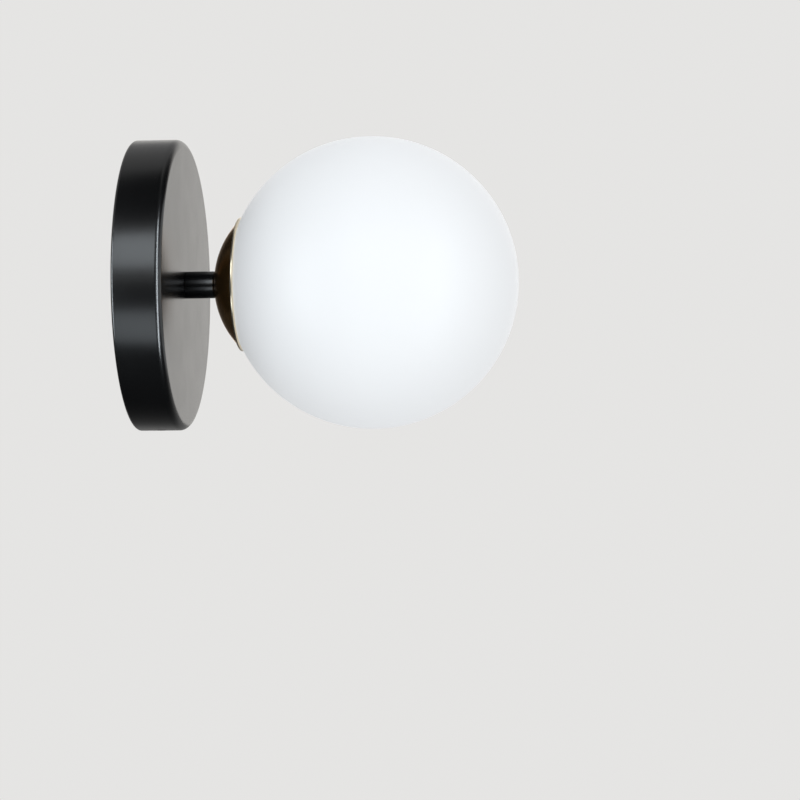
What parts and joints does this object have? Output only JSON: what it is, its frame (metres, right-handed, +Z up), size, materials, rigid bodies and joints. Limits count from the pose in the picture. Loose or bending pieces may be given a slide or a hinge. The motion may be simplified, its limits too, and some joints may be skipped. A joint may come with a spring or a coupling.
{
  "type": "globe wall lamp",
  "caption": "Wall lamp with an opal glass globe in a brass cup, held by a short spacer off a round black canopy that covers its wall bracket and wiring.",
  "frame": {"origin": "centre of the wall bracket's rear face, on the wall", "axes": "+Y into the wall, -Y out into the room along the lamp's axis, +Z up, +X to the right of someone who faces the wall"},
  "size_m": [0.14, 0.1844, 0.14],
  "materials": {
    "black_satin_paint": "satin black powder coat on steel",
    "zinc_steel": "bright zinc-plated steel",
    "polished_brass": "polished and lacquered",
    "plain_brass": "turned, unlacquered",
    "opal_glass": "satin opal, lit from inside",
    "collar_aluminium": "turned",
    "silicone": "soft, translucent white",
    "black_thermoset": "moulded black phenolic",
    "ceramic_core": "unglazed steatite",
    "nickel_plate": "nickel-plated, satin",
    "white_plastic": "moulded white",
    "opal_plastic": "satin opal diffuser",
    "circuit_board": "green solder mask",
    "led_board_white": "white solder mask on aluminium",
    "brown_insulation": "extruded lead insulation",
    "blue_insulation": "extruded lead insulation",
    "earth_insulation": "green lead insulation with a yellow stripe"
  },
  "bodies": {
    "bracket": {"wall_bracket": "zinc_steel", "bracket_earth_screw": "plain_brass", "bracket_earth_washer": "zinc_steel"},
    "rim_screw_top": {"rim_screw_top": "black_satin_paint"},
    "rim_screw_bottom": {"rim_screw_bottom": "black_satin_paint"},
    "gasket": {"gasket": "silicone"},
    "globe": {"globe": "opal_glass"},
    "bulb_foot": {"bulb_contact": "nickel_plate"},
    "bulb": {"bulb_insulator": "black_thermoset", "bulb_shell": "nickel_plate", "bulb_body": "white_plastic", "bulb_driver": "circuit_board", "bulb_led_board": "led_board_white", "bulb_cover": "opal_plastic"},
    "fixture": {"canopy": "black_satin_paint", "rim_nuts": "zinc_steel", "terminal_carrier": "zinc_steel", "rear_lock_washer": "zinc_steel", "rear_nut": "plain_brass", "threaded_tube": "zinc_steel", "tube_bush": "white_plastic", "spacer": "black_satin_paint", "cup": "polished_brass", "front_lock_washer": "zinc_steel", "front_nut": "plain_brass", "thread_collar": "collar_aluminium", "holder_cap": "black_thermoset", "holder_core": "ceramic_core", "holder_sleeve": "black_thermoset", "holder_shell": "nickel_plate", "holder_contact": "plain_brass", "holder_terminals": "plain_brass", "holder_terminal_screws": "zinc_steel", "holder_rivets": "plain_brass", "terminal_block": "white_plastic", "terminal_sleeves": "plain_brass", "terminal_screws": "zinc_steel", "block_screw": "zinc_steel", "earth_screw": "plain_brass", "earth_washer": "zinc_steel", "earth_lug": "nickel_plate", "lead_live": "brown_insulation", "lead_neutral": "blue_insulation", "lead_earth": "earth_insulation", "lead_ferrules": "nickel_plate"}
  },
  "joints": [
    {"name": "canopy_draw", "type": "slide", "parent": "bracket", "child": "fixture", "axis": [0, -1, 0], "range_m": [0, 0.04]},
    {"name": "rim_screw_top_out", "type": "slide", "parent": "fixture", "child": "rim_screw_top", "axis": [0, 0, 1], "range_m": [0, 0.003]},
    {"name": "rim_screw_bottom_out", "type": "slide", "parent": "fixture", "child": "rim_screw_bottom", "axis": [0, 0, -1], "range_m": [0, 0.003]},
    {"name": "globe_draw", "type": "slide", "parent": "fixture", "child": "gasket", "axis": [0, -1, 0], "range_m": [0, 0.15]},
    {"name": "globe_turn", "type": "hinge", "parent": "gasket", "child": "globe", "pos_m": [0, -0.1144, 0], "axis": [0, -1, 0], "range_deg": [0, 540]},
    {"name": "bulb_rise", "type": "slide", "parent": "fixture", "child": "bulb_foot", "axis": [0, -1, 0], "range_m": [0, 0.0142]},
    {"name": "bulb_turn", "type": "hinge", "parent": "bulb_foot", "child": "bulb", "pos_m": [0, -0.1, 0], "axis": [0, -1, 0], "range_deg": [0, 1800]}
  ],
  "couplings": [
    {"joint": "bulb_rise", "follows": "bulb_turn", "m_per_rad": 0.00044882}
  ]
}
